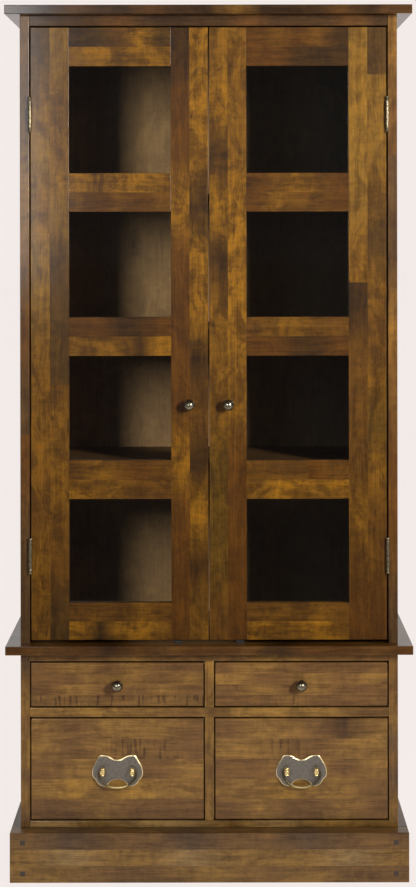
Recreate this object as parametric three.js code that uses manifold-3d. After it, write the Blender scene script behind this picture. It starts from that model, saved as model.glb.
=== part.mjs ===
// China cabinet: a glazed upper case with two doors, standing on a base with four drawers.
// Millimetres, +Z up. The front faces -Y and the origin is on the floor under the middle.
import * as THREE from 'three';
import { mergeVertices } from 'three/addons/utils/BufferGeometryUtils.js';
import Module from 'manifold-3d';

const wasm = await Module();
wasm.setup();

// ---- driving dimensions -------------------------------------------------------------------

const BOARD_WIDTH = 920; // cornice and waist board
const DEPTH = 420; // plinth front to case back
const HEIGHT = 1975;
const CASE_WIDTH = 856;
const PANEL = 21; // case sides, dust panel
const BOARD = 20; // waist board
const CORNICE = 20.5;
const BACK_PANEL = 8;
const SHELF = 18;

const BACK_Y = DEPTH / 2;
const PLINTH_FRONT_Y = -DEPTH / 2;
const CASE_FRONT_Y = PLINTH_FRONT_Y + 42;
const BOARD_FRONT_Y = CASE_FRONT_Y - 30;
const INNER_BACK_Y = BACK_Y - BACK_PANEL;
const CASE_HALF = CASE_WIDTH / 2;
const INNER_HALF = CASE_HALF - PANEL;

const PLINTH_HEIGHT = 112;
const PLINTH_HALF = 449;
const PLINTH_STOCK = 45;

const FLOOR_PANEL = 14.5;
const DUST_PANEL_Z = 362; // underside
const BASE_RAIL_Z = 488.75; // underside
const BASE_RAIL_DEPTH = 70;
const WAIST_Z = 508.5; // underside
const UPPER_Z = WAIST_Z + BOARD;
const CORNICE_Z = HEIGHT - CORNICE;
const DIVIDER_HALF = 10.5;

const FRIEZE_Z = 1930; // underside of the rail over the doors
const FRIEZE_SETBACK = 2;
const SHELF_TOPS = { shelf_upper: 1550, shelf_middle: 1240, shelf_lower: 933 };
const SHELF_FRONT_Y = CASE_FRONT_Y + 48;

const DOOR_THICKNESS = 22;
const DOOR_BOTTOM_Z = 537;
const DOOR_INNER_X = 1.5; // half the gap between the doors
const DOOR_OUTER_X = 403.25;
const INNER_STILE = 84;
const OUTER_STILE = 85.5;
const TOP_RAIL = 87.25;
const MIDDLE_RAIL = 87.5;
const BOTTOM_RAIL = 84;
const PANE_HEIGHTS = [243, 239.5, 237.25, 235.75]; // in sight, from the top down
const GLASS_SETBACK = 15; // door face to glass
const GLASS = 3;
const GLASS_REBATE = 8;
const GLASS_PLAY = 1;

const DRAWER_GAP = 3.75; // over and under each front
const DRAWER_SIDE_GAP = 2.75;
const DRAWER_FRONT = 20;
const DRAWER_WALL = 12;
const DRAWER_BOTTOM = 10;
const DRAWER_DEPTH = 345; // box behind the front
const DRAWER_CLEAR = 1.25; // under the box
const DRAWER_SIDE_CLEAR = 5;
const DRAWER_HEADROOM = 22;

const KNOB_RADIUS = 13;
const KNOB_LENGTH = 30;
const DOOR_KNOB_X = 44;
const DOOR_KNOB_Z = 1071;
const DRAWER_CENTRE_X = 208.5;

const PULL_Z = 239.5; // middle of the backplate
const PLATE = 2.5;
const POST_X = 33.5;
const POST_RADIUS = 6.2;
const POST_LENGTH = 18;
const POST_RISE = 1.5; // post axis over the middle of the plate
const PIVOT_REACH = 11; // plate face to bail axis
const BAIL_RADIUS = 2.2;
const BAIL_HALF = 42.5;
const BAIL_DROP = 36.5;
const BAIL_PIN_RADIUS = 1.6;
const BAIL_PIN_DEPTH = 4.5; // reach of each pin into its post

const HINGE_CENTRES = { lower: 728, upper: 1729 };
const KNUCKLE_RADIUS = 4;
const KNUCKLE_COUNT = 5;
const BARREL_LENGTH = 57;
const FINIAL_LENGTH = 13;
const PIN_RADIUS = 1.7;
const LEAF = 1.5;
const LEAF_DEPTH = 20;
const RUNNING_GAP = 0.3;
const HINGE_AXIS_Y = CASE_FRONT_Y - KNUCKLE_RADIUS - 0.2;
const HINGE_AXIS_X = (INNER_HALF + DOOR_OUTER_X) / 2;

const SIDES = [['left', -1], ['right', 1]];

// ---- materials ------------------------------------------------------------------------------

const wood = new THREE.MeshStandardMaterial({ color: 0x8a6238, roughness: 0.45 });
const darkWood = new THREE.MeshStandardMaterial({ color: 0x6b4724, roughness: 0.5 });
const innerWood = new THREE.MeshStandardMaterial({ color: 0x9a7a52, roughness: 0.7 });
const glass = new THREE.MeshStandardMaterial({ color: 0xdfe8e4, roughness: 0.05 });
const brass = new THREE.MeshStandardMaterial({ color: 0xa89468, roughness: 0.35, metalness: 1 });
const pewter = new THREE.MeshStandardMaterial({ color: 0x8b887e, roughness: 0.35, metalness: 1 });

// ---- helpers --------------------------------------------------------------------------------

const cabinet = new THREE.Group();

function addMesh(name, geometry, material) {
  const mesh = new THREE.Mesh(geometry, material);
  mesh.name = name;
  cabinet.add(mesh);
  return mesh;
}

// A box between two corners. The corners may be given in any order.
function block([ax, ay, az], [bx, by, bz]) {
  const geometry = new THREE.BoxGeometry(Math.abs(bx - ax), Math.abs(by - ay), Math.abs(bz - az));
  return geometry.translate((ax + bx) / 2, (ay + by) / 2, (az + bz) / 2);
}

// An upright cylinder with its axis at x, y.
function column(x, y, radius, bottomZ, topZ, segments = 24) {
  const geometry = new THREE.CylinderGeometry(radius, radius, topZ - bottomZ, segments);
  return geometry.rotateX(Math.PI / 2).translate(x, y, (bottomZ + topZ) / 2);
}

function toSolid(geometry) {
  const bare = geometry.clone();
  bare.deleteAttribute('normal');
  bare.deleteAttribute('uv');
  const merged = mergeVertices(bare, 1e-4);
  const index = merged.index.array;
  const triangles = [];
  for (let i = 0; i < index.length; i += 3) {
    const [a, b, c] = [index[i], index[i + 1], index[i + 2]];
    if (a !== b && b !== c && c !== a) triangles.push(a, b, c);
  }
  return new wasm.Manifold(new wasm.Mesh({
    numProp: 3,
    vertProperties: new Float32Array(merged.attributes.position.array),
    triVerts: new Uint32Array(triangles),
  }));
}

function toGeometry(solid) {
  const { vertProperties, triVerts } = solid.getMesh();
  const geometry = new THREE.BufferGeometry();
  geometry.setAttribute('position', new THREE.BufferAttribute(vertProperties, 3));
  geometry.setIndex(new THREE.BufferAttribute(triVerts, 1));
  geometry.computeVertexNormals();
  return geometry;
}

function join(geometries) {
  return geometries.map(toSolid).reduce((sum, solid) => sum.add(solid));
}

function cut(body, tools) {
  return toGeometry(toSolid(body).subtract(join(tools)));
}

// ---- plinth ---------------------------------------------------------------------------------

function addPlinth() {
  const frontBackY = PLINTH_FRONT_Y + PLINTH_STOCK;
  const front = block([-PLINTH_HALF, PLINTH_FRONT_Y, 0], [PLINTH_HALF, frontBackY, PLINTH_HEIGHT]);
  addMesh('plinth_front', front, wood);
  for (const [side, sign] of SIDES) {
    const inner = [sign * (PLINTH_HALF - PLINTH_STOCK), frontBackY, 0];
    const outer = [sign * PLINTH_HALF, BACK_Y, PLINTH_HEIGHT];
    addMesh(`plinth_${side}`, block(inner, outer), wood);
  }
}

// ---- base case ------------------------------------------------------------------------------

const FLOOR_TOP_Z = PLINTH_HEIGHT + FLOOR_PANEL;
const DUST_PANEL_TOP_Z = DUST_PANEL_Z + PANEL;

// A board across the inside of a case, between its two sides.
function crossBoard(frontY, backY, bottomZ, topZ) {
  return block([-INNER_HALF, frontY, bottomZ], [INNER_HALF, backY, topZ]);
}

function addCaseSides(prefix, bottomZ, topZ) {
  for (const [side, sign] of SIDES) {
    const inner = [sign * INNER_HALF, CASE_FRONT_Y, bottomZ];
    const outer = [sign * CASE_HALF, BACK_Y, topZ];
    addMesh(`${prefix}_side_${side}`, block(inner, outer), wood);
  }
}

function addDivider(name, bottomZ, topZ) {
  const board = block([-DIVIDER_HALF, CASE_FRONT_Y, bottomZ], [DIVIDER_HALF, INNER_BACK_Y, topZ]);
  addMesh(name, board, wood);
}

function addBaseCase() {
  addCaseSides('base', PLINTH_HEIGHT, WAIST_Z);
  const floorPanel = crossBoard(CASE_FRONT_Y, INNER_BACK_Y, PLINTH_HEIGHT, FLOOR_TOP_Z);
  addMesh('base_floor_panel', floorPanel, wood);
  const dustPanel = crossBoard(CASE_FRONT_Y, INNER_BACK_Y, DUST_PANEL_Z, DUST_PANEL_TOP_Z);
  addMesh('base_dust_panel', dustPanel, wood);
  addDivider('base_divider_lower', FLOOR_TOP_Z, DUST_PANEL_Z);
  addDivider('base_divider_upper', DUST_PANEL_TOP_Z, BASE_RAIL_Z);
  const railBackY = CASE_FRONT_Y + BASE_RAIL_DEPTH;
  addMesh('base_top_rail', crossBoard(CASE_FRONT_Y, railBackY, BASE_RAIL_Z, WAIST_Z), wood);
  addMesh('base_back_panel', crossBoard(INNER_BACK_Y, BACK_Y, PLINTH_HEIGHT, WAIST_Z), innerWood);
}

// ---- upper case -----------------------------------------------------------------------------

function addWideBoard(name, bottomZ, topZ) {
  const half = BOARD_WIDTH / 2;
  addMesh(name, block([-half, BOARD_FRONT_Y, bottomZ], [half, BACK_Y, topZ]), darkWood);
}

function addUpperCase() {
  addWideBoard('waist_board', WAIST_Z, UPPER_Z);
  addWideBoard('cornice_board', CORNICE_Z, HEIGHT);
  addCaseSides('upper', UPPER_Z, CORNICE_Z);
  const friezeFrontY = CASE_FRONT_Y + FRIEZE_SETBACK;
  const frieze = crossBoard(friezeFrontY, friezeFrontY + PANEL, FRIEZE_Z, CORNICE_Z);
  addMesh('frieze_rail', frieze, wood);
  addMesh('upper_back_panel', crossBoard(INNER_BACK_Y, BACK_Y, UPPER_Z, CORNICE_Z), innerWood);
  for (const [name, topZ] of Object.entries(SHELF_TOPS)) {
    addMesh(name, crossBoard(SHELF_FRONT_Y, INNER_BACK_Y, topZ - SHELF, topZ), innerWood);
  }
}

// ---- doors ----------------------------------------------------------------------------------

const DOOR_BACK_Y = CASE_FRONT_Y + DOOR_THICKNESS;
const GLASS_FRONT_Y = CASE_FRONT_Y + GLASS_SETBACK;
const GLAZED_INNER_X = DOOR_INNER_X + INNER_STILE;
const GLAZED_OUTER_X = DOOR_OUTER_X - OUTER_STILE;
const GLAZED_TOP_Z = PANE_HEIGHTS.reduce((sum, height) => sum + height,
  DOOR_BOTTOM_Z + BOTTOM_RAIL + (PANE_HEIGHTS.length - 1) * MIDDLE_RAIL);
const DOOR_TOP_Z = GLAZED_TOP_Z + TOP_RAIL;

// The rails of one door from the top down, each with its own height.
function doorRails() {
  const rails = [{ name: 'rail_1', topZ: DOOR_TOP_Z, height: TOP_RAIL }];
  PANE_HEIGHTS.forEach((paneHeight, i) => {
    const above = rails[i];
    const height = i === PANE_HEIGHTS.length - 1 ? BOTTOM_RAIL : MIDDLE_RAIL;
    rails.push({ name: `rail_${i + 2}`, topZ: above.topZ - above.height - paneHeight, height });
  });
  return rails;
}

// The rebate behind the whole glazed area, cut out of every member that it meets.
function glassSeat(sign) {
  const overlap = GLASS_REBATE + GLASS_PLAY;
  const seatY = GLASS_FRONT_Y - RUNNING_GAP;
  const low = [sign * (GLAZED_INNER_X - overlap), seatY, DOOR_BOTTOM_Z + BOTTOM_RAIL - overlap];
  const high = [sign * (GLAZED_OUTER_X + overlap), DOOR_BACK_Y + 1, GLAZED_TOP_Z + overlap];
  return block(low, high);
}

function addDoor(side, sign) {
  const seat = glassSeat(sign);
  const stiles = { inner_stile: [DOOR_INNER_X, GLAZED_INNER_X], outer_stile: [GLAZED_OUTER_X, DOOR_OUTER_X] };
  for (const [name, [innerX, outerX]] of Object.entries(stiles)) {
    const near = [sign * innerX, CASE_FRONT_Y, DOOR_BOTTOM_Z];
    const far = [sign * outerX, DOOR_BACK_Y, DOOR_TOP_Z];
    addMesh(`door_${side}_${name}`, cut(block(near, far), [seat]), wood);
  }
  for (const { name, topZ, height } of doorRails()) {
    const near = [sign * GLAZED_INNER_X, CASE_FRONT_Y, topZ - height];
    const far = [sign * GLAZED_OUTER_X, DOOR_BACK_Y, topZ];
    addMesh(`door_${side}_${name}`, cut(block(near, far), [seat]), wood);
  }
  const sheetNear = [sign * (GLAZED_INNER_X - GLASS_REBATE), GLASS_FRONT_Y,
    DOOR_BOTTOM_Z + BOTTOM_RAIL - GLASS_REBATE];
  const sheetFar = [sign * (GLAZED_OUTER_X + GLASS_REBATE), GLASS_FRONT_Y + GLASS,
    GLAZED_TOP_Z + GLASS_REBATE];
  addMesh(`door_${side}_glass`, block(sheetNear, sheetFar), glass);
}

// ---- hinges ---------------------------------------------------------------------------------

// The bead and ball at one end of a hinge pin. up is 1 for the top end and -1 for the bottom.
function finial(x, endZ, up) {
  const profile = [
    [0, 0], [3.4, 0], [3.4, 1], [4.2, 2.2], [4.2, 3.8], [2.4, 5.2], [2.4, 6.6],
    [4, 8], [4.3, 9.6], [3.6, 11.6], [2, 12.7], [0, FINIAL_LENGTH],
  ].map(([radius, along]) => new THREE.Vector2(radius, along));
  const turned = new THREE.LatheGeometry(profile, 20);
  turned.rotateX(up > 0 ? Math.PI / 2 : -Math.PI / 2);
  return turned.translate(x, HINGE_AXIS_Y, endZ);
}

// A leaf in the side gap of the door, with a neck to each of its own knuckles.
function leafAndKnuckles(axisX, leafX, centreZ, isOwnKnuckle) {
  const bottomZ = centreZ - BARREL_LENGTH / 2;
  const pitch = BARREL_LENGTH / KNUCKLE_COUNT;
  const leafFrontY = CASE_FRONT_Y + RUNNING_GAP;
  const leafBackY = leafFrontY + LEAF_DEPTH;
  const pieces = [block([leafX, leafFrontY, bottomZ], [leafX + LEAF, leafBackY, bottomZ + BARREL_LENGTH])];
  for (let i = 0; i < KNUCKLE_COUNT; i += 1) {
    if (!isOwnKnuckle(i)) continue;
    const low = bottomZ + i * pitch + RUNNING_GAP / 2;
    const high = bottomZ + (i + 1) * pitch - RUNNING_GAP / 2;
    const neckFrontY = HINGE_AXIS_Y + KNUCKLE_RADIUS - 1;
    pieces.push(block([leafX, neckFrontY, low], [leafX + LEAF, leafFrontY + 1, high]));
    pieces.push(column(axisX, HINGE_AXIS_Y, KNUCKLE_RADIUS, low, high));
  }
  return join(pieces);
}

function addHinge(side, sign, place, centreZ) {
  const axisX = sign * HINGE_AXIS_X;
  const caseLeafX = sign > 0 ? INNER_HALF - LEAF : -INNER_HALF;
  const doorLeafX = sign > 0 ? DOOR_OUTER_X : -DOOR_OUTER_X - LEAF;
  const lowEnd = centreZ - BARREL_LENGTH / 2;
  const highEnd = centreZ + BARREL_LENGTH / 2;

  const caseLeaf = leafAndKnuckles(axisX, caseLeafX, centreZ, (i) => i % 2 === 0);
  const boreRadius = PIN_RADIUS + RUNNING_GAP;
  const bore = toSolid(column(axisX, HINGE_AXIS_Y, boreRadius, lowEnd - 1, highEnd + 1));
  addMesh(`hinge_${side}_${place}_case_leaf`, toGeometry(caseLeaf.subtract(bore)), brass);

  const doorLeaf = leafAndKnuckles(axisX, doorLeafX, centreZ, (i) => i % 2 === 1);
  const pin = join([
    column(axisX, HINGE_AXIS_Y, PIN_RADIUS, lowEnd - 1, highEnd + 1),
    finial(axisX, highEnd + RUNNING_GAP, 1),
    finial(axisX, lowEnd - RUNNING_GAP, -1),
  ]);
  addMesh(`hinge_${side}_${place}_door_leaf`, toGeometry(doorLeaf.add(pin)), brass);
}

// ---- knobs and pulls ------------------------------------------------------------------------

// A turned ball knob standing out from the front, with a small rose at its foot.
function knob(x, z) {
  const profile = [[0, 0], [9, 0], [9, 1.2], [6.6, 2.6], [5.2, 5], [5.2, 8], [7, 9.6]];
  const ballCentre = KNOB_LENGTH - KNOB_RADIUS;
  const steps = 8;
  const firstAngle = -1.0;
  for (let i = 0; i <= steps; i += 1) {
    const angle = firstAngle + ((Math.PI / 2 - firstAngle) * i) / steps;
    profile.push([KNOB_RADIUS * Math.cos(angle), ballCentre + KNOB_RADIUS * Math.sin(angle)]);
  }
  profile[profile.length - 1][0] = 0;
  const points = profile.map(([radius, along]) => new THREE.Vector2(radius, along));
  return new THREE.LatheGeometry(points, 24).rotateX(Math.PI).translate(x, CASE_FRONT_Y, z);
}

// Half of the bat-wing outline, from the dip in the top edge down to the arch in the bottom one.
function batWingHalf() {
  const half = new THREE.Path();
  half.moveTo(0, 26);
  half.bezierCurveTo(11, 26, 18, 33, 27, 36);
  half.quadraticCurveTo(35, 39, 40, 33.5);
  half.lineTo(45.5, 24);
  half.bezierCurveTo(54, 17, 59, 6, 57.6, -4);
  half.quadraticCurveTo(55.5, -13, 48.2, -16.5);
  half.bezierCurveTo(46, -25, 38, -33.5, 27, -34.5);
  half.quadraticCurveTo(22.5, -33.5, 21, -28);
  half.quadraticCurveTo(11, -18.5, 0, -18.5);
  return half.getPoints(6);
}

function batWingShape() {
  const right = batWingHalf();
  const left = right.slice(1, -1).reverse().map((point) => new THREE.Vector2(-point.x, point.y));
  return new THREE.Shape([...right, ...left]);
}

// A short cylinder along Y with its rear end at backY.
function spindle(x, z, radius, backY, length, segments = 24) {
  const geometry = new THREE.CylinderGeometry(radius, radius, length, segments);
  return geometry.translate(x, backY - length / 2, z);
}

// A short cylinder along X with its middle at x.
function crossPin(x, y, z, radius, length) {
  return new THREE.CylinderGeometry(radius, radius, length, 12).rotateZ(Math.PI / 2).translate(x, y, z);
}

function pullPlate(centreX) {
  const outline = new THREE.ExtrudeGeometry(batWingShape(), { depth: PLATE, bevelEnabled: false });
  outline.rotateX(Math.PI / 2).translate(centreX, CASE_FRONT_Y, PULL_Z);
  const plateFaceY = CASE_FRONT_Y - PLATE;
  const pivotZ = PULL_Z + POST_RISE;
  const parts = [outline];
  const bores = [];
  for (const [, sign] of SIDES) {
    const postX = centreX + sign * POST_X;
    const boreX = postX + sign * (POST_RADIUS - BAIL_PIN_DEPTH / 2);
    parts.push(spindle(postX, pivotZ, POST_RADIUS, plateFaceY + 1, POST_LENGTH + 1));
    bores.push(crossPin(boreX, plateFaceY - PIVOT_REACH, pivotZ, BAIL_PIN_RADIUS + RUNNING_GAP,
      BAIL_PIN_DEPTH + 1));
  }
  return toGeometry(join(parts).subtract(join(bores)));
}

// A hanging U whose ends turn in to the posts.
function bail(centreX) {
  const pivotY = CASE_FRONT_Y - PLATE - PIVOT_REACH;
  const pivotZ = PULL_Z + POST_RISE;
  const path = new THREE.CatmullRomCurve3([
    [-BAIL_HALF, 1.5], [-BAIL_HALF, -8], [-36, -19.5], [-21, -31], [0, -BAIL_DROP],
    [21, -31], [36, -19.5], [BAIL_HALF, -8], [BAIL_HALF, 1.5],
  ].map(([x, z]) => new THREE.Vector3(centreX + x, pivotY, pivotZ + z)), false, 'centripetal');
  const section = new THREE.Shape();
  section.absarc(0, 0, BAIL_RADIUS, 0, 2 * Math.PI);
  const bow = new THREE.ExtrudeGeometry(section, { steps: 40, curveSegments: 5, extrudePath: path });
  const pinLength = BAIL_HALF - POST_X - POST_RADIUS + BAIL_PIN_DEPTH;
  const pins = SIDES.map(([, sign]) => crossPin(centreX + sign * (BAIL_HALF - pinLength / 2), pivotY,
    pivotZ, BAIL_PIN_RADIUS, pinLength));
  return toGeometry(join([bow, ...pins]));
}

// ---- drawers --------------------------------------------------------------------------------

function drawerFront(sign, bottomZ, topZ) {
  const near = [sign * (DIVIDER_HALF + DRAWER_SIDE_GAP), CASE_FRONT_Y, bottomZ + DRAWER_GAP];
  const far = [sign * (INNER_HALF - DRAWER_SIDE_GAP), CASE_FRONT_Y + DRAWER_FRONT, topZ - DRAWER_GAP];
  return block(near, far);
}

// An open box behind the front, between bottomZ and topZ of its bay.
function drawerBox(sign, bottomZ, topZ) {
  const frontY = CASE_FRONT_Y + DRAWER_FRONT;
  const innerX = DIVIDER_HALF + DRAWER_SIDE_CLEAR;
  const outerX = INNER_HALF - DRAWER_SIDE_CLEAR;
  const lowZ = bottomZ + DRAWER_CLEAR;
  const highZ = topZ - DRAWER_HEADROOM;
  const shell = block([sign * innerX, frontY, lowZ], [sign * outerX, frontY + DRAWER_DEPTH, highZ]);
  const room = block(
    [sign * (innerX + DRAWER_WALL), frontY + DRAWER_WALL, lowZ + DRAWER_BOTTOM],
    [sign * (outerX - DRAWER_WALL), frontY + DRAWER_DEPTH - DRAWER_WALL, highZ + 1],
  );
  return cut(shell, [room]);
}

function addDrawer(name, sign, bottomZ, topZ) {
  addMesh(`${name}_front`, drawerFront(sign, bottomZ, topZ), wood);
  addMesh(`${name}_box`, drawerBox(sign, bottomZ, topZ), innerWood);
}

// ---- assembly -------------------------------------------------------------------------------

addPlinth();
addBaseCase();
addUpperCase();
for (const [side, sign] of SIDES) {
  addDoor(side, sign);
  for (const [place, centreZ] of Object.entries(HINGE_CENTRES)) addHinge(side, sign, place, centreZ);
  addMesh(`door_${side}_knob`, knob(sign * DOOR_KNOB_X, DOOR_KNOB_Z), pewter);
  addDrawer(`small_drawer_${side}`, sign, DUST_PANEL_TOP_Z, BASE_RAIL_Z);
  const smallDrawerZ = (DUST_PANEL_TOP_Z + BASE_RAIL_Z) / 2;
  addMesh(`small_drawer_${side}_knob`, knob(sign * DRAWER_CENTRE_X, smallDrawerZ), pewter);
  addDrawer(`large_drawer_${side}`, sign, FLOOR_TOP_Z, DUST_PANEL_Z);
  addMesh(`pull_${side}_plate`, pullPlate(sign * DRAWER_CENTRE_X), pewter);
  addMesh(`pull_${side}_bail`, bail(sign * DRAWER_CENTRE_X), brass);
}

export default cabinet;
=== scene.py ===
"""Looks of the china cabinet: staved and stained wood, panes, antique hardware, studio and camera.

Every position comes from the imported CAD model, in metres. The front faces -Y and +Z is up.
"""

import math
import random

import bmesh
import bpy
from mathutils import Matrix, Vector


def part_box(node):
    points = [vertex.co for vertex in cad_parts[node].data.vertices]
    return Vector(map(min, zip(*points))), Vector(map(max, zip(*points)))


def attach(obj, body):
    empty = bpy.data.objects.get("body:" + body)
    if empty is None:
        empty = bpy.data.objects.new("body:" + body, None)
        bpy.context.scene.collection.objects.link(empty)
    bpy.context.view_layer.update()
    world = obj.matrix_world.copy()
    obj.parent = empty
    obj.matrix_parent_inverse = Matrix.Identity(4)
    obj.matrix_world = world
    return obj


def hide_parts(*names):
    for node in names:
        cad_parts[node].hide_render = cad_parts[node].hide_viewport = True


MM = 0.001
AXES = {"x": 0, "y": 1, "z": 2}
SIDES = (("left", -1), ("right", 1))
PANES = 4  # in each door

# Faces that meet at a larger angle than this, in degrees, keep a hard edge between them.
FLAT = 12
ROUND = 40

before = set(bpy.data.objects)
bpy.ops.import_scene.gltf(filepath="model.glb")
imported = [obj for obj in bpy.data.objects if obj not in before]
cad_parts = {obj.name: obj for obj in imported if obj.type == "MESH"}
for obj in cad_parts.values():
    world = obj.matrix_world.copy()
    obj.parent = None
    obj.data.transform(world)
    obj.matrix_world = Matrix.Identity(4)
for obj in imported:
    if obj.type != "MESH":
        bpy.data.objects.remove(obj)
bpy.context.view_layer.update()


# ---- node helpers --------------------------------------------------------------------------


def srgb(red, green, blue):
    """A colour given as 0-255 screen values, as linear light with alpha 1."""
    parts = []
    for value in (red, green, blue):
        c = value / 255
        parts.append(c / 12.92 if c <= 0.04045 else ((c + 0.055) / 1.055) ** 2.4)
    return (*parts, 1.0)


class Tree:
    """Short ways to add nodes to one material or world."""

    def __init__(self, owner):
        owner.use_nodes = True
        self.nodes = owner.node_tree.nodes
        self.links = owner.node_tree.links
        self.nodes.clear()

    def put(self, socket, value):
        if isinstance(value, bpy.types.NodeSocket):
            self.links.new(value, socket)
        else:
            socket.default_value = value

    def add(self, kind, inputs=None, **settings):
        node = self.nodes.new(kind)
        for name, value in settings.items():
            setattr(node, name, value)
        for name, value in (inputs or {}).items():
            self.put(node.inputs[name], value)
        return node

    def math(self, operation, first, second):
        return self.add("ShaderNodeMath", {0: first, 1: second}, operation=operation).outputs[0]

    def total(self, first, *others):
        for other in others:
            first = self.math("ADD", first, other)
        return first

    def swing(self, pattern, amount):
        """A pattern of 0 to 1 as a change about nothing, amount from end to end."""
        return self.math("MULTIPLY", self.math("SUBTRACT", pattern, 0.5), amount)

    def scaled(self, vector, scale):
        node = self.add("ShaderNodeVectorMath", {0: vector, 1: scale}, operation="MULTIPLY")
        return node.outputs[0]

    def noise(self, vector, scale, detail=3.0, roughness=0.55, distortion=0.0):
        inputs = {"Vector": self.scaled(vector, scale), "Scale": 1.0, "Detail": detail,
                  "Roughness": roughness, "Distortion": distortion}
        return self.add("ShaderNodeTexNoise", inputs).outputs["Fac"]

    def span(self, value, low, high, to_low=0.0, to_high=1.0):
        """value from low to high, mapped smoothly to a new range and held at its ends."""
        inputs = {"Value": value, "From Min": low, "From Max": high,
                  "To Min": to_low, "To Max": to_high}
        node = self.add("ShaderNodeMapRange", inputs, interpolation_type="SMOOTHSTEP")
        return node.outputs["Result"]

    def mix(self, factor, first, second, blend="MIX"):
        node = self.add("ShaderNodeMix", data_type="RGBA", blend_type=blend)
        self.put(node.inputs[0], factor)
        self.put(node.inputs[6], first)
        self.put(node.inputs[7], second)
        return node.outputs[2]

    def ramp(self, value, stops):
        node = self.add("ShaderNodeValToRGB", {"Fac": value})
        band = node.color_ramp
        while len(band.elements) < len(stops):
            band.elements.new(0.5)
        for element, (place, colour) in zip(band.elements, stops):
            element.position = place
            element.color = colour
        return node.outputs["Color"]

    def bump(self, height, strength, distance):
        inputs = {"Height": height, "Strength": strength, "Distance": distance}
        return self.add("ShaderNodeBump", inputs).outputs["Normal"]

    def surface(self, shader):
        output = self.add("ShaderNodeOutputMaterial")
        self.links.new(shader, output.inputs["Surface"])


# ---- wood ------------------------------------------------------------------------------------

# The stains that the wood comes in: a screen colour, how strongly it is mottled, and how strongly
# short dark flecks cross its grain.
TONES = {
    "g": ((143, 108, 44), 0.95, 0.15),
    "h": ((124, 93, 45), 0.75, 0.1),
    "b": ((106, 77, 41), 0.55, 0.05),
    "r": ((98, 67, 31), 0.40, 0.0),
    "d": ((68, 48, 27), 0.60, 0.1),
    "o": ((98, 77, 38), 0.70, 0.1),
    "u": ((88, 67, 45), 0.55, 0.05),
    "p": ((138, 110, 68), 0.55, 0.05),
    "k": ((112, 83, 42), 0.60, 1.0),
    "s": ((104, 76, 48), 0.30, 0.0),
}
JOINT = "|"


def wood_material(name, tint, figure=0.8, lines=1.0, roughness=0.46, coat=0.3):
    """Staved wood under satin lacquer. Each corner carries its stain in the attribute "tone", its
    place along, across and through the grain in "grain", and mottling and flecks in "figure".
    The tint multiplies the stain, figure the mottling and lines the streaks."""
    material = bpy.data.materials.new(name)
    tree = Tree(material)
    grain = tree.add("ShaderNodeAttribute", attribute_name="grain").outputs["Vector"]
    tone = tree.add("ShaderNodeAttribute", attribute_name="tone").outputs["Color"]
    marks = tree.add("ShaderNodeAttribute", attribute_name="figure").outputs["Vector"]
    marks = tree.add("ShaderNodeSeparateXYZ", {0: marks}).outputs
    mottling = tree.math("MULTIPLY", marks["X"], figure)

    # The fibres sway a little, so the patterns that follow them are drawn in bent coordinates.
    sway = tree.swing(tree.noise(grain, (3.0, 9.0, 9.0), detail=2.0), 0.03)
    shift = tree.add("ShaderNodeCombineXYZ", {"Y": sway, "Z": sway}).outputs[0]
    bent = tree.add("ShaderNodeVectorMath", {0: grain, 1: shift}, operation="ADD").outputs[0]

    # Each pattern's scale is in waves per metre, along the grain and then across it.
    clouds = tree.span(tree.noise(grain, (14.0, 24.0, 24.0), 6.0, 0.68, 0.9), 0.36, 0.63)
    smudge = tree.span(tree.noise(grain, (20.0, 36.0, 36.0), 5.0, 0.68, 1.2), 0.53, 0.66)
    streaks = tree.span(tree.noise(bent, (4.0, 95.0, 95.0), 4.0, 0.65), 0.3, 0.7)
    hairs = tree.span(tree.noise(bent, (9.0, 420.0, 420.0), 3.0, 0.6), 0.35, 0.68)
    curl = tree.span(tree.noise(grain, (75.0, 26.0, 26.0), 3.0, 0.6, 0.8), 0.36, 0.66)
    pores = tree.span(tree.noise(bent, (40.0, 900.0, 900.0), 1.0, 0.5), 0.6, 0.72)
    flecks = tree.span(tree.noise(grain, (130.0, 16.0, 16.0), 1.0, 0.4, 0.2), 0.54, 0.62)
    flecks = tree.math("MULTIPLY", flecks, marks["Y"])

    level = tree.total(
        0.5,
        tree.math("MULTIPLY", tree.swing(clouds, mottling), 0.62),
        tree.swing(streaks, 0.24 * lines),
        tree.swing(hairs, 0.20 * lines),
        tree.math("MULTIPLY", tree.swing(curl, mottling), 0.22),
    )
    shade = tree.ramp(level, (
        (0.06, (0.42, 0.38, 0.40, 1)),
        (0.30, (0.68, 0.65, 0.64, 1)),
        (0.50, (0.96, 0.96, 0.96, 1)),
        (0.70, (1.30, 1.29, 1.16, 1)),
        (0.94, (1.72, 1.70, 1.38, 1)),
    ))
    colour = tree.mix(1.0, tone, shade, "MULTIPLY")
    dark = tree.mix(1.0, colour, (0.40, 0.37, 0.42, 1), "MULTIPLY")
    smudge = tree.math("MULTIPLY", smudge, tree.math("MULTIPLY", mottling, 0.62))
    colour = tree.mix(smudge, colour, dark)
    colour = tree.mix(tree.math("MULTIPLY", flecks, 0.75), colour, dark)
    colour = tree.mix(tree.math("MULTIPLY", pores, 0.28), colour, dark)
    colour = knots(tree, grain, colour, figure)
    colour = tree.scaled(colour, tint)

    lift = tree.math("SUBTRACT", tree.math("MULTIPLY", hairs, 0.5), pores)
    gloss = tree.math("ADD", roughness - 0.05, tree.math("MULTIPLY", streaks, 0.1))
    shader = tree.add("ShaderNodeBsdfPrincipled", {
        "Base Color": colour,
        "Roughness": gloss,
        "Specular IOR Level": 0.1,
        "Coat Weight": coat,
        "Coat Roughness": 0.14,
        "Normal": tree.bump(lift, 0.22, 0.0004),
    })
    tree.surface(shader.outputs["BSDF"])
    return material


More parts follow.
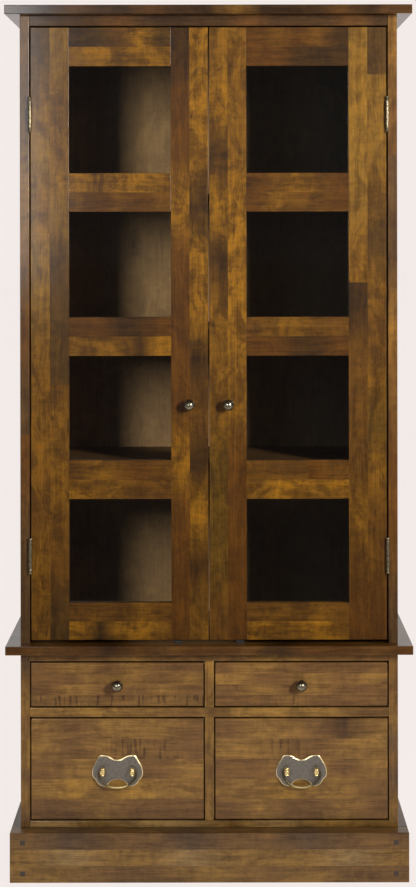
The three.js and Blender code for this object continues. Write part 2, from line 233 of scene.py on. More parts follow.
def knots(tree, grain, colour, figure):
    """Small dark pin knots, far apart, each with a soft halo."""
    cells = tree.add("ShaderNodeTexVoronoi", {
        "Vector": tree.scaled(grain, (4.2, 9.0, 9.0)), "Scale": 1.0, "Randomness": 1.0,
    })
    core = tree.span(cells.outputs["Distance"], 0.035, 0.075, 1.0, 0.0)
    halo = tree.span(cells.outputs["Distance"], 0.05, 0.20, 0.45, 0.0)
    amount = tree.math("MAXIMUM", core, halo)
    return tree.mix(tree.math("MULTIPLY", amount, 0.8 * figure), colour, (0.03, 0.018, 0.01, 1))


def rows_for(node, across_axis, tones, width=0.055, length=9):
    """Rows of staves drawn at random for a board that needs no chosen pattern."""
    low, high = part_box(node)
    draw = random.Random(node)
    rows = max(1, round((high[AXES[across_axis]] - low[AXES[across_axis]]) / width))
    patterns = []
    for _ in range(rows):
        letters = [draw.choice(tones) for _ in range(length)]
        letters.insert(draw.randrange(2, length - 1), JOINT)
        patterns.append("".join(letters))
    return patterns


def read_row(row):
    """The staves of a row: for each its first and last share of the length, and its letters. Letters
    take equal lengths, colours run softly from one to the next, and a bar is a joint."""
    total = len(row.replace(JOINT, ""))
    staves = []
    start = 0
    for letters in row.split(JOINT):
        staves.append((start / total, (start + len(letters)) / total, letters))
        start += len(letters)
    return staves


def stave_stops(stave):
    """The share of the length at the middle of each letter."""
    first, last, letters = stave
    step = (last - first) / len(letters)
    return [first + (i + 0.5) * step for i in range(len(letters))]


def stain_at(stave, share):
    """Colour, mottling and flecks at one share of the length."""
    stops = stave_stops(stave)
    looks = []
    for letter in stave[2]:
        colour, mottling, flecks = TONES[letter]
        looks.append(Vector((*srgb(*colour)[:3], mottling, flecks)))
    if share <= stops[0]:
        return looks[0]
    for i in range(1, len(stops)):
        if share <= stops[i]:
            return looks[i - 1].lerp(looks[i], (share - stops[i - 1]) / (stops[i] - stops[i - 1]))
    return looks[-1]


def clean_copy(node):
    """The CAD node's shape as flat joined faces, ready to cut and ease."""
    shape = bmesh.new()
    shape.from_mesh(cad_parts[node].data)
    bmesh.ops.remove_doubles(shape, verts=shape.verts, dist=1e-5)
    bmesh.ops.dissolve_limit(shape, angle_limit=math.radians(1), verts=shape.verts, edges=shape.edges)
    return shape


def slice_at(shape, axis, place):
    """Adds a loop of edges round the shape at one place along an axis."""
    normal = Vector((0, 0, 0))
    normal[axis] = 1
    geometry = shape.verts[:] + shape.edges[:] + shape.faces[:]
    bmesh.ops.bisect_plane(shape, geom=geometry, plane_co=normal * place, plane_no=normal, dist=1e-6)


def ease(shape, width, segments=2, limit=30):
    """Rounds over every sharp edge."""
    sharp = [e for e in shape.edges if e.is_manifold and e.calc_face_angle(0) > math.radians(limit)]
    bmesh.ops.bevel(shape, geom=sharp, offset=width, offset_type="OFFSET", segments=segments,
                    profile=0.5, affect="EDGES", clamp_overlap=True)


def finish_mesh(shape, name, material):
    mesh = bpy.data.meshes.new(name)
    shape.to_mesh(mesh)
    shape.free()
    mesh.materials.append(material)
    piece = bpy.data.objects.new(name, mesh)
    bpy.context.scene.collection.objects.link(piece)
    return piece


def place(piece, body, slot, node=None, smooth=FLAT):
    """Shades the piece, hangs it on the body that it rides on, and hides the CAD node that it stands in
    for.
    """
    for face in piece.data.polygons:
        face.use_smooth = True
    piece.data.set_sharp_from_angle(angle=math.radians(smooth))
    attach(piece, body)
    if node:
        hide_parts(node)
    return piece


def paint_staves(mesh, name, axes, low, high, rows):
    """Writes each corner's stain, figure and place in the wood."""
    along, across, depth = axes
    mesh.attributes.new("tone", "FLOAT_COLOR", "CORNER")
    mesh.attributes.new("figure", "FLOAT_VECTOR", "CORNER")
    mesh.attributes.new("grain", "FLOAT_VECTOR", "CORNER")
    tone, figure, grain = (mesh.attributes[key].data for key in ("tone", "figure", "grain"))
    length = high[along] - low[along]
    width = high[across] - low[across]
    rows = [read_row(row) for row in rows]
    for face in mesh.polygons:
        row = int((face.center[across] - low[across]) / width * len(rows))
        row = min(max(row, 0), len(rows) - 1)
        middle = (face.center[along] - low[along]) / length
        index = sum(middle > stave[1] for stave in rows[row][:-1])
        stave = rows[row][index]
        draw = random.Random(f"{name}/{row}/{index}")
        offset = Vector((draw.uniform(0, 40), draw.uniform(0, 40), draw.uniform(0, 40)))
        light = draw.uniform(0.94, 1.06)
        for corner in face.loop_indices:
            point = mesh.vertices[mesh.loops[corner].vertex_index].co
            look = stain_at(stave, (point[along] - low[along]) / length)
            tone[corner].color = (look[0] * light, look[1] * light, look[2] * light, 1)
            figure[corner].vector = (look[3], look[4], 0)
            grain[corner].vector = Vector((point[along], point[across], point[depth])) + offset


def stave_up(shape, axes, rows, eased):
    """Cuts the shape along its glue lines, eases its edges and returns its corners."""
    along, across, _ = axes
    low = Vector([min(v.co[i] for v in shape.verts) for i in range(3)])
    high = Vector([max(v.co[i] for v in shape.verts) for i in range(3)])
    for i in range(1, len(rows)):
        slice_at(shape, across, low[across] + (high[across] - low[across]) * i / len(rows))
    shares = set()
    for row in rows:
        for stave in read_row(row):
            shares.update(stave_stops(stave))
            shares.add(stave[1])
    for share in sorted(shares - {1.0}):
        slice_at(shape, along, low[along] + (high[along] - low[along]) * share)
    if eased:
        ease(shape, eased)
    return low, high


def board(node, body, slot, material, grain_axis, across_axis, rows, eased=1.2 * MM):
    """A CAD board as staved wood: grain_axis runs along the fibres, across_axis over the rows."""
    depth_axis = next(a for a in AXES if a not in (grain_axis, across_axis))
    axes = (AXES[grain_axis], AXES[across_axis], AXES[depth_axis])
    shape = clean_copy(node)
    low, high = stave_up(shape, axes, rows, eased)
    piece = finish_mesh(shape, f"{node}_wood", material)
    paint_staves(piece.data, node, axes, low, high, rows)
    return place(piece, body, slot, node)


# ---- materials -------------------------------------------------------------------------------


def metal_material(name, colour, dark, roughness, wear, arm_shaded=False):
    """Antiqued metal: a warm base, darker where it was left unpolished, finely scratched. One made to
    shade its arms also takes painted shade, as much as the piece's own attribute gives."""
    material = bpy.data.materials.new(name)
    tree = Tree(material)
    place_in = tree.add("ShaderNodeTexCoord").outputs["Object"]
    patches = tree.span(tree.noise(place_in, (160.0, 160.0, 160.0), 4.0, 0.6), 0.38, 0.66)
    specks = tree.span(tree.noise(place_in, (900.0, 900.0, 900.0), 2.0), 0.55, 0.75)
    tint = tree.mix(tree.math("MULTIPLY", patches, wear), colour, dark)
    tint = tree.mix(tree.math("MULTIPLY", specks, 0.35), tint, dark)
    if arm_shaded:
        painted_arm_shade = tree.add("ShaderNodeAttribute", attribute_name="painted_arm_shade").outputs["Fac"]
        # Painted shade: darkens the bail's arms to stand in for the dark reflection they show.
        tint = tree.mix(painted_arm_shade, tint, srgb(44, 42, 34))
    gloss = tree.math("ADD", roughness, tree.math("MULTIPLY", patches, 0.16))
    shader = tree.add("ShaderNodeBsdfPrincipled", {
        "Base Color": tint,
        "Metallic": 1.0,
        "Roughness": gloss,
        "Normal": tree.bump(specks, 0.12, 0.0002),
    })
    tree.surface(shader.outputs["BSDF"])
    return material


def glass_material():
    """Clear window glass: it lets the light through and mirrors more at a slant."""
    material = bpy.data.materials.new("clear_pane_glass")
    tree = Tree(material)
    clear = tree.add("ShaderNodeBsdfTransparent", {"Color": (0.93, 0.955, 0.94, 1)})
    mirror = tree.add("ShaderNodeBsdfGlossy", {"Color": (0.9, 0.9, 0.9, 1), "Roughness": 0.03})
    slant = tree.add("ShaderNodeLayerWeight", {"Blend": 0.5}).outputs["Facing"]
    share = tree.math("ADD", 0.04, tree.math("MULTIPLY", tree.math("POWER", slant, 5.0), 0.9))
    mixed = tree.add("ShaderNodeMixShader", {0: share})
    tree.links.new(clear.outputs[0], mixed.inputs[1])
    tree.links.new(mirror.outputs[0], mixed.inputs[2])
    tree.surface(mixed.outputs[0])
    return material


def plain_material(name, colour, roughness):
    """A dark plain stuff, unevenly darkened."""
    material = bpy.data.materials.new(name)
    tree = Tree(material)
    place_in = tree.add("ShaderNodeTexCoord").outputs["Object"]
    fibres = tree.span(tree.noise(place_in, (300.0, 300.0, 300.0), 3.0), 0.35, 0.65)
    tint = tree.mix(tree.math("MULTIPLY", fibres, 0.35), colour, (0.01, 0.008, 0.006, 1))
    shader = tree.add("ShaderNodeBsdfPrincipled", {"Base Color": tint, "Roughness": roughness})
    tree.surface(shader.outputs["BSDF"])
    return material


WOOD_DOOR = wood_material("door_stained_wood", (0.66, 0.51, 0.13), figure=0.95, coat=0.22)
WOOD_CASE = wood_material("case_stained_wood", (0.9, 0.76, 0.5), coat=0.2)
WOOD_BASE = wood_material("base_stained_wood", (1.12, 1.07, 1.0))
WOOD_BOARD = wood_material("board_stained_wood", (0.68, 0.58, 0.4), roughness=0.36, coat=0.45)
WOOD_DRAWER = wood_material("drawer_stained_wood", (1.2, 1.14, 1.14), figure=0.55)
WOOD_PLINTH = wood_material("plinth_stained_wood", (1.1, 1.09, 1.12), figure=0.6)
WOOD_SHELF = wood_material("shelf_stained_wood", (0.9, 0.8, 0.7), roughness=0.6, coat=0.0)
WOOD_INNER = wood_material("inner_stained_wood", (1.95, 2.0, 2.1), lines=0.35, roughness=0.6, coat=0.0)
GLASS = glass_material()
BRASS = metal_material("antique_brass", srgb(238, 212, 150), srgb(130, 106, 64), 0.26, 0.4)
# The bail's brass takes painted shade on its arms, set by make_bail.
BRASS_BAIL = metal_material("bail_brass", srgb(226, 202, 140), srgb(130, 108, 66), 0.28, 0.3, True)
PEWTER = metal_material("antique_pewter", srgb(140, 132, 112), srgb(62, 56, 46), 0.2, 0.5)
PLATE_FACE = metal_material("blackened_plate", srgb(128, 122, 112), srgb(84, 80, 74), 0.42, 0.35)
# The rim's brighter brass is a painted highlight on the plate's bevelled edge.
RIM_PAINTED_HIGHLIGHT = metal_material("brass_rim_painted_highlight", srgb(226, 206, 160), srgb(150, 130, 90), 0.3, 0.3)
HINGE = metal_material("aged_hinge_brass", srgb(128, 118, 94), srgb(52, 44, 34), 0.34, 0.7)
STEEL = metal_material("dull_steel", srgb(150, 148, 142), srgb(80, 78, 74), 0.35, 0.4)
WOOD_PEG = plain_material("dark_end_grain", srgb(64, 47, 32), 0.45)
DARK_PLASTIC = plain_material("dark_catch", srgb(40, 34, 30), 0.5)


# ---- case ------------------------------------------------------------------------------------


def make_case():
    """The fixed boards. A flat board's first row is the one whose edge shows at the front."""
    body = "carcass"
    rows_behind = 6
    board("cornice_board", body, "board_wood", WOOD_BOARD, "x", "y",
          ["ddrddrddhdddrdr", "rdd|rdr", "drdrd|r", "ddr|rdd", "rdrddr", "dd|drd", "drd|rr"])
    board("waist_board", body, "board_wood", WOOD_BOARD, "x", "y",
          ["rbrdrbrrbdrrbr", "drr|bdr", "bdrr|dr", "rrd|rbr", "dbr|rdr", "rdb|rrd", "drr|dbr"])
    # The frieze rail's mostly dark "d" staves are painted shade: they stand in for the shadow that the
    # cornice's overhang casts on it.
    board("frieze_rail", body, "case_wood", WOOD_CASE, "x", "z", ["dddrddddrdddrd"])
    board("base_top_rail", body, "case_wood", WOOD_BASE, "x", "y", ["bbhbbhbb", "hbbh"])
    board("base_dust_panel", body, "case_wood", WOOD_BASE, "x", "y",
          ["hhhbhhhb"] + ["hbh"] * rows_behind)
    # The pale "p" staves in the floor panel's front row are painted light: they lighten its front edge
    # against the shade that falls on it.
    board("base_floor_panel", body, "case_wood", WOOD_BASE, "x", "y",
          ["phpphphh"] + ["bhb"] * rows_behind)
    for part in ("lower", "upper"):
        board(f"base_divider_{part}", body, "case_wood", WOOD_BASE, "z", "y",
              ["hbh"] + ["h"] * rows_behind)
    for side, _ in SIDES:
        for part, tones, wood in (("upper", "uubrh", WOOD_CASE), ("base", "bhbuh", WOOD_BASE)):
            node = f"{part}_side_{side}"
            board(node, body, "case_wood", wood, "z", "y", rows_for(node, "y", tones))
    for part in ("upper", "base"):
        node = f"{part}_back_panel"
        board(node, body, "inner_wood", WOOD_INNER, "z", "x", ["ss"], eased=0)
    for part in ("upper", "middle", "lower"):
        node = f"shelf_{part}"
        board(node, body, "inner_wood", WOOD_SHELF, "x", "y", rows_for(node, "y", "sbs"))
        make_shelf_pins(node)


def make_shelf_pins(shelf):
    """Four steel pins under a shelf, in the case sides."""
    low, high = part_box(shelf)
    radius = 2.5 * MM
    reach = 9 * MM
    from_ends = 45 * MM
    shape = bmesh.new()
    for x, inward in ((low.x, 1), (high.x, -1)):
        for y in (low.y + from_ends, high.y - from_ends):
            middle = Vector((x + inward * reach / 2, y, low.z - radius))
            turn = Matrix.Translation(middle) @ Matrix.Rotation(math.pi / 2, 4, "Y")
            bmesh.ops.create_cone(shape, cap_ends=True, segments=20, radius1=radius, radius2=radius,
                                  depth=reach, matrix=turn)
    ease(shape, 0.5 * MM)
    place(finish_mesh(shape, f"{shelf}_pins", STEEL), "carcass", "hinge_brass", smooth=ROUND)


def make_plinth():
    """The front stands back a hair, so that its pegs end flush in it and still show their edges."""
    front = board("plinth_front", "carcass", "plinth_wood", WOOD_PLINTH, "x", "z",
                  ["hhbbhhbhbb", "hphhphhhph", "bubbubbubb"])
    for side, _ in SIDES:
        board(f"plinth_{side}", "carcass", "plinth_wood", WOOD_PLINTH, "y", "z", ["bhb", "hbh", "ubb"])
    low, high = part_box("plinth_front")
    half = 6 * MM
    from_end = 29 * MM
    heights = (20.5 * MM, 90 * MM)
    hair = 0.2 * MM
    for vertex in front.data.vertices:
        vertex.co.y = max(vertex.co.y, low.y + hair)
    for side, sign in SIDES:
        for row, z in zip(("lower", "upper"), heights):
            x = sign * (high.x - from_end)
            peg = block((x - half, low.y, z - half), (x + half, low.y + half, z + half), 0.8 * MM)
            piece = finish_mesh(peg, f"plinth_peg_{side}_{row}", WOOD_PEG)
            place(piece, "carcass", "plinth_wood")


def block(low, high, eased):
    """A box between two corners with rounded edges."""
    shape = bmesh.new()
    bmesh.ops.create_cube(shape, size=1)
    for vert in shape.verts:
        vert.co = Vector([low[i] + (high[i] - low[i]) * (vert.co[i] + 0.5) for i in range(3)])
    ease(shape, eased)
    return shape


# ---- doors -----------------------------------------------------------------------------------

# Rows of staves from the lower to the higher side, each read along the grain: up, or to the right.
STILES = {
    "door_left_outer_stile": ["hhbhhhpphphu", "ubhhh|uuuphhp"],
    "door_left_inner_stile": ["rrrgrrrrgrrd", "hdgdbdggdggg"],
    "door_right_inner_stile": ["booohhhdgdgh", "rrrrhhggghhh"],
    "door_right_outer_stile": ["rbhbbbd|hpppp", "rbbhohbhuhpp|u"],
}
RAILS = {
    "door_left": [["hghgh", "dubgu"], ["brbrb", "gkggh"], ["hhhdg", "rrddr"], ["ghhbb", "bhbrb"],
                  ["gdggh", "bbbhb"]],
    "door_right": [["rrddd", "rbrbd"], ["rhbbr", "rbhbr"], ["rrddr", "bhhbb"], ["hgghg", "bbb|rb"],
                   ["ghhgh", "bhbhb"]],
}


def make_doors():
    eased = 0.4 * MM
    for side, _ in SIDES:
        body = f"door_{side}"
        for part in ("outer", "inner"):
            node = f"{body}_{part}_stile"
            board(node, body, "door_wood", WOOD_DOOR, "z", "x", STILES[node], eased)
        for i, rows in enumerate(RAILS[body], start=1):
            board(f"{body}_rail_{i}", body, "door_wood", WOOD_DOOR, "x", "z", rows, eased)
        make_panes(side)


def pane_openings(side):
    """The x and z limits of each pane's opening, from the top down."""
    openings = []
    for i in range(1, PANES + 1):
        upper_low, upper_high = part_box(f"door_{side}_rail_{i}")
        _, lower_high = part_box(f"door_{side}_rail_{i + 1}")
        openings.append((upper_low.x, upper_high.x, lower_high.z, upper_low.z))
    return openings


def make_panes(side):
    """Four panes in place of the one sheet, each held in its rebate by four beads."""
    sheet_low, sheet_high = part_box(f"door_{side}_glass")
    door_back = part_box(f"door_{side}_rail_2")[1].y
    overlap = 7.5 * MM
    bead_play = 0.2 * MM
    front = sheet_high.y + bead_play
    for i, (left, right, bottom, top) in enumerate(pane_openings(side), start=1):
        low = (left - overlap, sheet_low.y, bottom - overlap)
        high = (right + overlap, sheet_high.y, top + overlap)
        pane = finish_mesh(block(low, high, 0.4 * MM), f"door_{side}_pane_{i}", GLASS)
        place(pane, f"door_{side}", "pane_glass", f"door_{side}_glass")
        beads = bmesh.new()
        strips = (
            ((low[0], front, low[2]), (left, door_back, high[2])),
            ((right, front, low[2]), (high[0], door_back, high[2])),
            ((left, front, low[2]), (right, door_back, bottom)),
            ((left, front, top), (right, door_back, high[2])),
        )
        for first, last in strips:
            strip = block(first, last, 1.0 * MM)
            mesh = bpy.data.meshes.new("strip")
            strip.to_mesh(mesh)
            strip.free()
            beads.from_mesh(mesh)
        piece = finish_mesh(beads, f"door_{side}_beads_{i}", WOOD_PEG)
        place(piece, f"door_{side}", "door_wood")


# ---- drawers ---------------------------------------------------------------------------------

DRAWER_FRONTS = {
    "small_drawer_left": ["kkkkkk", "bhbbhb", "bbhhbh", "bhbhbb"],
    "small_drawer_right": ["bbkbbb", "bhbhbb", "hbbhbh", "bhbbbb"],
    "large_drawer_left": ["bbhbbb", "hghghh", "bhhbbh", "hbhkkb", "hbhhhb"],
    "large_drawer_right": ["bhbbhb", "hhghhb", "bbhhbh", "hhkbhh", "bhhbdh"],
}


def make_drawers():
    """Each front, and its box: sides, back and bottom in one, with wide staves along its depth."""
    for name, rows in DRAWER_FRONTS.items():
        board(f"{name}_front", name, "drawer_wood", WOOD_DRAWER, "x", "z", rows, 1.4 * MM)
        node = f"{name}_box"
        rows = rows_for(node, "x", "sps", width=0.08, length=5)
        board(node, name, "inner_wood", WOOD_INNER, "y", "x", rows, 0.8 * MM)


# ---- hardware --------------------------------------------------------------------------------

# Outlines of the hardware, in millimetres. A turned outline is (radius, height) up its axis.
KNOB_FOOT = (
    (0, 0), (9, 0), (9.2, 0.5), (9.0, 1.1), (7.4, 1.8), (6.0, 3.0), (5.3, 4.6), (5.1, 6.6),
    (5.5, 8.0), (6.6, 9.0),
)
KNOB_BALL_FROM = -0.95  # radians up the ball from its widest ring
KNOB_BALL_STEPS = 20

# Half of the backplate's edge, (x, z) from its middle out, seen from the front.
PLATE_HALF = (
    (0, 26), (8, 27), (15, 31), (21, 34.6), (27, 36), (34, 36.6), (39, 36.2), (42, 34.2),
    (44.6, 30), (48, 24), (52.4, 17), (55.6, 9.5), (57.6, 2), (57.8, -4), (57, -9.5),
    (54.6, -14.4), (50.2, -17.6), (47.6, -23), (43.6, -28.6), (37, -32.8), (30.6, -34.4), (25.6, -33.8),
    (22.4, -31.2), (20.6, -27.4), (15, -22.6), (8, -19.6), (0, -18.5),
)
PLATE_THICKNESS = 2.5 * MM
PLATE_DROP = 34.5 * MM  # from the outline's zero down to its lowest points

# A post: a barrel with a domed cap above and a bead below, on a stub out of the plate.
POST = (
    (0, -9.6), (3.0, -9.4), (5.2, -8.4), (5.9, -7.0), (5.5, -5.8), (5.0, -5.4), (6.2, -4.6),
    (6.7, -2.0), (6.8, 1.0), (6.5, 4.0), (5.7, 5.2), (4.9, 5.6), (5.5, 6.2), (5.6, 7.4),
    (4.6, 8.9), (2.6, 9.9), (0, 10.2),
)
POST_OUT = 33.5 * MM  # from the plate's middle to each post
STUB_FOOT_RADIUS = 4.6 * MM
STUB_RADIUS = 3.6 * MM
STUB_FOOT = 1.6 * MM

# Half of the bail, from its end in: (x, z, radius) from the middle of the line it swings on.
BAIL_HALF = (
    (37.6, 0.0, 1.6), (40.6, 0.0, 1.6), (42.2, -1.4, 2.0), (42.5, -5, 2.0), (42.2, -9.5, 2.0),
    (40.6, -14.6, 2.1), (37.2, -19.6, 2.2), (32, -24.8, 2.3), (26, -29.2, 2.4), (19, -32.4, 2.6),
    (10, -34.6, 2.8),
)
BAIL_MIDDLE = (0, -35.2, 2.9)
BAIL_SIDES = 20
BAIL_RISE = 1.5 * MM  # of the line it swings on above the plate's zero


def turned(profile, segments, name, material):
    """A turned piece round its own +Z axis, from (radius, height) points that start and end on it."""
    shape = bmesh.new()
    rings = []
    for radius, height in profile:
        if radius < 1e-7:
            rings.append([shape.verts.new((0, 0, height))])
            continue
        ring = []
        for i in range(segments):
            angle = 2 * math.pi * i / segments
            ring.append(shape.verts.new((radius * math.cos(angle), radius * math.sin(angle), height)))
        rings.append(ring)
    for lower, upper in zip(rings, rings[1:]):
        for i in range(segments):
            j = (i + 1) % segments
            corners = [lower[i % len(lower)], lower[j % len(lower)],
                       upper[j % len(upper)], upper[i % len(upper)]]
            shape.faces.new(list(dict.fromkeys(corners)))
    bmesh.ops.recalc_face_normals(shape, faces=shape.faces)
    return finish_mesh(shape, name, material)


def in_metres(outline):
    """A turned outline's points, in metres."""
    return [(radius * MM, height * MM) for radius, height in outline]


def make_knob(node, body):
    """A ball knob on a flared foot."""
    low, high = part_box(node)
    radius = (high.x - low.x) / 2
    length = high.y - low.y
    foot = Vector(((low.x + high.x) / 2, high.y, (low.z + high.z) / 2))
    profile = in_metres(KNOB_FOOT)
    for i in range(KNOB_BALL_STEPS):
        angle = KNOB_BALL_FROM + (math.pi / 2 - KNOB_BALL_FROM) * i / KNOB_BALL_STEPS
        profile.append((radius * math.cos(angle), length - radius + radius * math.sin(angle)))
    profile.append((0, length))
    knob = turned(profile, 48, f"{node}_turned", PEWTER)
    knob.data.transform(Matrix.Translation(foot) @ Matrix.Rotation(math.pi / 2, 4, "X"))
    place(knob, body, "knob_pewter", node, ROUND)


def make_hinges():
    """The CAD leaves, knuckles and pins as they are, in aged brass."""
    for side, _ in SIDES:
        for part in ("upper", "lower"):
            for leaf, body in (("case", "carcass"), ("door", f"door_{side}")):
                node = f"hinge_{side}_{part}_{leaf}_leaf"
                piece = finish_mesh(clean_copy(node), f"{node}_metal", HINGE)
                place(piece, body, "hinge_brass", node, ROUND)


def make_pull(side):
    """A bat-wing backplate with its rim painted bright as a highlight, two posts, and a bail that
    swings on them.
    """
    body = f"large_drawer_{side}"
    plate_node = f"pull_{side}_plate"
    bail_node = f"pull_{side}_bail"
    low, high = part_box(plate_node)
    centre = Vector(((low.x + high.x) / 2, high.y, low.z + PLATE_DROP))
    make_plate(plate_node, body, centre)

    bail_low, bail_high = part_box(bail_node)
    pivot = Vector((centre.x, (bail_low.y + bail_high.y) / 2, centre.z + BAIL_RISE))
    for end, sign in SIDES:
        axis = pivot + Vector((sign * POST_OUT, 0, 0))
        make_post(f"{plate_node}_post_{end}", body, plate_node, axis, centre.y - PLATE_THICKNESS)
    make_bail(f"bail_{side}", bail_node, pivot)


def make_plate(node, body, centre):
    """The outline stood off the drawer front, with its middle set in and raised inside the rim."""
    rim_width = 2.0 * MM
    raised = 1.0 * MM
    outline = list(PLATE_HALF) + [(-x, z) for x, z in reversed(PLATE_HALF[1:-1])]
    shape = bmesh.new()
    back = [shape.verts.new((centre.x + x * MM, centre.y, centre.z + z * MM)) for x, z in outline]
    face = shape.faces.new(back)
    front = bmesh.ops.extrude_face_region(shape, geom=[face])["geom"]
    moved = [g for g in front if isinstance(g, bmesh.types.BMVert)]
    bmesh.ops.translate(shape, verts=moved, vec=(0, -PLATE_THICKNESS, 0))
    bmesh.ops.recalc_face_normals(shape, faces=shape.faces)
    facing = [f for f in shape.faces if f.normal.y < -0.9]
    bmesh.ops.inset_region(shape, faces=facing, thickness=rim_width, use_even_offset=True)
    facing = [f for f in shape.faces if f.normal.y < -0.9 and len(f.verts) > 4]
    for vert in {v for f in facing for v in f.verts}:
        vert.co.y -= raised
    shape.normal_update()
    # Painted highlight: the rim and edge take the bright brass, standing in for the light the bevel
    # catches; the face inside keeps the plate's dark finish.
    piece = finish_mesh(shape, f"{node}_face", RIM_PAINTED_HIGHLIGHT)
    piece.data.materials.append(PLATE_FACE)
    for polygon in piece.data.polygons:
        if polygon.normal.y < -0.99:
            polygon.material_index = 1
    place(piece, body, "pull_pewter", node)


def make_post(name, body, node, axis, plate_face):
    """A post's barrel about its upright axis, and the stub that holds it off the plate."""
    post = turned(in_metres(POST), 32, name, BRASS)
    post.data.transform(Matrix.Translation(axis))
    place(post, body, "pull_pewter", node, ROUND)
    length = plate_face - axis.y
    profile = [(0, 0), (STUB_FOOT_RADIUS, 0), (STUB_RADIUS, STUB_FOOT), (STUB_RADIUS, length),
               (0, length)]
    stub = turned(profile, 24, f"{name}_stub", BRASS)
    foot = Matrix.Translation((axis.x, plate_face, axis.z))
    stub.data.transform(foot @ Matrix.Rotation(math.pi / 2, 4, "X"))
    place(stub, body, "pull_pewter", node, ROUND)


def make_bail(body, node, pivot):
    """The drop handle: thin pins, and arms that swell to a thick grip in the middle."""
    forward = Vector((0, 1, 0))
    route = [*BAIL_HALF, BAIL_MIDDLE, *((-x, z, r) for x, z, r in reversed(BAIL_HALF))]
    points = [pivot + Vector((x * MM, 0, z * MM)) for x, z, _ in route]
    shape = bmesh.new()
    rings = []
    for i, (point, (_, _, radius)) in enumerate(zip(points, route)):
        ahead = points[min(i + 1, len(points) - 1)] - points[max(i - 1, 0)]
        out = forward.cross(ahead).normalized()
        ring = []
        for k in range(BAIL_SIDES):
            angle = 2 * math.pi * k / BAIL_SIDES
            offset = out * math.cos(angle) + forward * math.sin(angle)
            ring.append(shape.verts.new(point + offset * radius * MM))
        rings.append(ring)
    for first, second in zip(rings, rings[1:]):
        for k in range(BAIL_SIDES):
            n = (k + 1) % BAIL_SIDES
            shape.faces.new((first[k], first[n], second[n], second[k]))
    shape.faces.new(rings[0])
    shape.faces.new(rings[-1])
    bmesh.ops.recalc_face_normals(shape, faces=shape.faces)
    piece = finish_mesh(shape, f"{node}_bar", BRASS_BAIL)
    darken_arms(piece, pivot.x)
    place(piece, body, "pull_brass", node, ROUND)


def darken_arms(bail, middle):
    """Paints shade on the bail away from its middle: the arms are darkened to stand in for the dark
    reflection they show, and the middle stays bright.
    """
    unshaded_to, dark_from, darkest = 14 * MM, 27 * MM, 0.9
    painted_arm_shade = bail.data.attributes.new("painted_arm_shade", "FLOAT", "POINT").data
    for vertex in bail.data.vertices:
        reach = (abs(vertex.co.x - middle) - unshaded_to) / (dark_from - unshaded_to)
        painted_arm_shade[vertex.index].value = min(max(reach, 0), darkest)


def make_catch(side, sign):
    """A small catch on the waist board, behind the door's bottom rail."""
    from_middle, half_width, height = 70 * MM, 9 * MM, 6.5 * MM
    starts_behind, ends_behind = 6 * MM, 18 * MM
    waist_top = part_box("waist_board")[1].z
    door_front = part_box(f"door_{side}_rail_5")[0].y
    x = sign * from_middle
    low = (x - half_width, door_front + starts_behind, waist_top)
    high = (x + half_width, door_front + ends_behind, waist_top + height)
    catch = finish_mesh(block(low, high, 0.8 * MM), f"door_{side}_catch", DARK_PLASTIC)
    place(catch, "carcass", "hinge_brass")


def make_hardware():
    for side, sign in SIDES:
        make_knob(f"door_{side}_knob", f"door_{side}")
        make_knob(f"small_drawer_{side}_knob", f"small_drawer_{side}")
        make_pull(side)
        make_catch(side, sign)


# ---- studio ----------------------------------------------------------------------------------

PALE = (0.896, 0.831, 0.807, 1)
FLOOR_GLOW = 0.96


def make_camera():
    """Square to the front and a little right of the middle, at eye height, with a falling front."""
    board_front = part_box("cornice_board")[0].y
    distance = 4.4
    picture_height = 1.9986  # in the plane of the cornice's front
    right_of_middle = 0.019
    eye_height = 1.490
    lean = math.radians(0.09)
    data = bpy.data.cameras.new("camera")
    data.sensor_width = 36
    data.lens = data.sensor_width * distance / picture_height
    data.shift_x = -0.0101
    data.shift_y = -0.2523
    camera = bpy.data.objects.new("camera", data)
    camera.location = (right_of_middle, board_front - distance, eye_height)
    camera.rotation_euler = (math.pi / 2, lean, 0)
    bpy.context.scene.collection.objects.link(camera)
    bpy.context.scene.camera = camera


def floor_disc(name, height, seen):
    """One disc of the floor. The seen one glows enough to be one with the backdrop. The other is what
    light bounces off: it falls dark in front, so that no bright floor shows in the panes."""
    material = bpy.data.materials.new(name)
    tree = Tree(material)
    lit = tree.add("ShaderNodeBsdfDiffuse", {"Color": (0.08, 0.074, 0.072, 1)})
    glow = tree.add("ShaderNodeEmission", {"Color": PALE, "Strength": FLOOR_GLOW})
    if not seen:
        dark_at, bright_at, dark_glow = -2.9, -1.1, 0.02
        place_in = tree.add("ShaderNodeTexCoord").outputs["Object"]
        depth = tree.add("ShaderNodeSeparateXYZ", {0: place_in}).outputs["Y"]
        strength = tree.span(depth, dark_at, bright_at, dark_glow, FLOOR_GLOW)
        tree.links.new(strength, glow.inputs["Strength"])
    both = tree.add("ShaderNodeAddShader", {0: lit.outputs[0], 1: glow.outputs[0]})
    tree.surface(both.outputs[0])
    bpy.ops.mesh.primitive_circle_add(vertices=96, radius=60, fill_type="NGON")
    disc = bpy.context.object
    disc.name = name
    disc.location.z = height
    disc.data.materials.append(material)
    disc.visible_camera = seen
    disc.visible_shadow = not seen
    disc.visible_diffuse = disc.visible_glossy = not seen


def make_floor():
    floor_disc("studio_floor", 0.0, seen=True)
    floor_disc("studio_bounce", -1 * MM, seen=False)


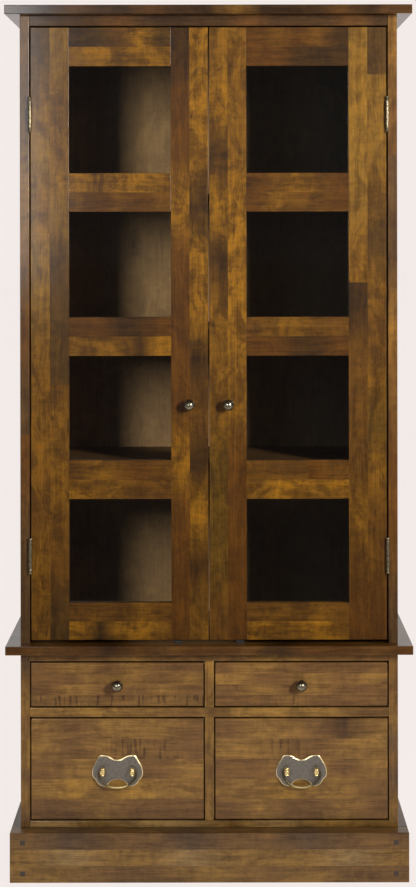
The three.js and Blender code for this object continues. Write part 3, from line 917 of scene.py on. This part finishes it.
def make_world():
    """A pale backdrop for the camera. What the object sees is brightest behind and above it."""
    world = bpy.data.worlds.new("studio")
    bpy.context.scene.world = world
    tree = Tree(world)
    direction = tree.add("ShaderNodeTexCoord").outputs["Generated"]
    parts = tree.add("ShaderNodeSeparateXYZ", {0: direction})
    behind = tree.span(parts.outputs["Y"], -0.3, 0.8, 0.06, 0.9)
    around = tree.add("ShaderNodeBackground", {"Color": (1.0, 0.97, 0.94, 1), "Strength": behind})
    backdrop = tree.add("ShaderNodeBackground", {"Color": PALE, "Strength": 1.0})
    path = tree.add("ShaderNodeLightPath")
    both = tree.add("ShaderNodeMixShader", {0: path.outputs["Is Camera Ray"]})
    tree.links.new(around.outputs[0], both.inputs[1])
    tree.links.new(backdrop.outputs[0], both.inputs[2])
    output = tree.add("ShaderNodeOutputWorld")
    tree.links.new(both.outputs[0], output.inputs["Surface"])


def softbox(name, place_at, aim, size, power, spread=180):
    """An area light of a size in metres, a power in watts and a spread in degrees."""
    data = bpy.data.lights.new(name, "AREA")
    data.shape = "RECTANGLE"
    data.size, data.size_y = size
    data.energy = power
    data.spread = math.radians(spread)
    light = bpy.data.objects.new(name, data)
    light.location = place_at
    light.rotation_euler = (Vector(aim) - Vector(place_at)).to_track_quat("-Z", "Y").to_euler()
    light.visible_camera = False
    bpy.context.scene.collection.objects.link(light)
    return light


def make_studio():
    make_camera()
    make_floor()
    make_world()
    softbox("key_right", (2.2, -2.9, 2.1), (0, 0, 1.6), (0.5, 1.3), 33, spread=75)
    softbox("fill_left", (-2.6, -2.2, 1.9), (0, 0, 1.1), (1.0, 1.6), 4)
    softbox("rim_right", (3.0, 0.4, 2.8), (0, 0, 1.1), (1.0, 1.4), 14)
    veil = softbox("veil_left", (-1.05, -3.2, 1.8), (-0.4, 0, 1.6), (0.75, 1.1), 46)
    veil.visible_diffuse = False  # it only adds the sheen on the left door's lacquer
    bpy.context.scene.view_settings.view_transform = "Standard"


make_case()
make_plinth()
make_doors()
make_drawers()
make_hinges()
make_hardware()
make_studio()
